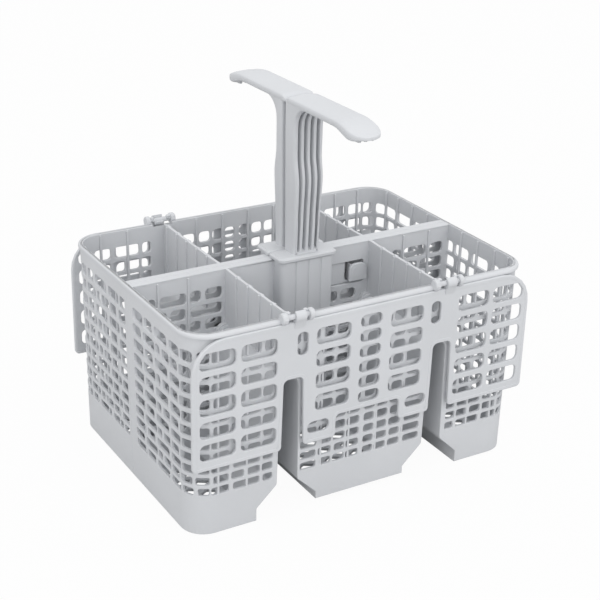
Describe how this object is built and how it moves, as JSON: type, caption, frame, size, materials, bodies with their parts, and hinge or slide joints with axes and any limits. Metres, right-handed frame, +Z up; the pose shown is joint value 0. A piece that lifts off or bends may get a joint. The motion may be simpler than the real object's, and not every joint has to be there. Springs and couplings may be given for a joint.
{
  "type": "dishwasher cutlery basket",
  "caption": "Grey plastic cutlery basket with three open towers, slotted walls, a central T handle and two hinged grille lids hanging at the long sides.",
  "frame": {"origin": "on the ground under the centre of the basket, at the foot of the side towers", "axes": "+Z up, X along the basket, -Y towards the front long side with its lid"},
  "size_m": [0.2394, 0.185, 0.2368],
  "materials": {
    "basket_plastic": "satin moulded polypropylene",
    "handle_plastic": "satin moulded polypropylene",
    "lid_plastic": "satin moulded polypropylene"
  },
  "bodies": {
    "basket": {"basket_front": "basket_plastic", "basket_back": "basket_plastic", "handle_front": "handle_plastic", "handle_back": "handle_plastic"},
    "front_lid": {"lid_front": "lid_plastic"},
    "back_lid": {"lid_back": "lid_plastic"}
  },
  "joints": [
    {"name": "front_lid_hinge", "type": "hinge", "parent": "basket", "child": "front_lid", "pos_m": [0, -0.089, 0.1336], "axis": [-1, 0, 0], "range_deg": [0, 270]},
    {"name": "back_lid_hinge", "type": "hinge", "parent": "basket", "child": "back_lid", "pos_m": [0, 0.089, 0.1336], "axis": [1, 0, 0], "range_deg": [0, 270]}
  ]
}
